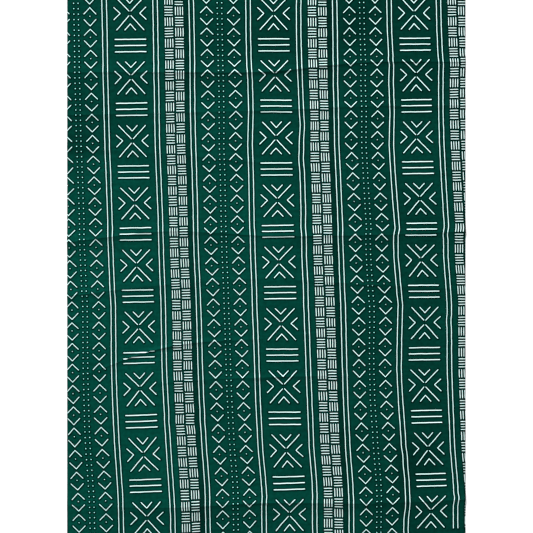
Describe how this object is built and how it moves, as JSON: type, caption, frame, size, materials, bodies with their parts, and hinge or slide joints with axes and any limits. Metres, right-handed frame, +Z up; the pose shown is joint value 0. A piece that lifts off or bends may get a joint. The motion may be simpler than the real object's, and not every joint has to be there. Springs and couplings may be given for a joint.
{
  "type": "african wax print fabric",
  "caption": "Flat cut length of green and white striped printed cotton cloth, lying in low packing folds, for sewing or display.",
  "frame": {"origin": "on the surface the cloth lies on, under the middle of its bounding box", "axes": "+Z up out of the printed face, +Y along the stripes to the top cut, -Y to the selvedge, +X to the right side"},
  "size_m": [0.727, 1, 0.008],
  "materials": {
    "printed_cotton": "plain-woven cotton, bottle green with a white resist print, soft low sheen"
  },
  "bodies": {
    "root": {"cloth": "printed_cotton"}
  },
  "joints": []
}
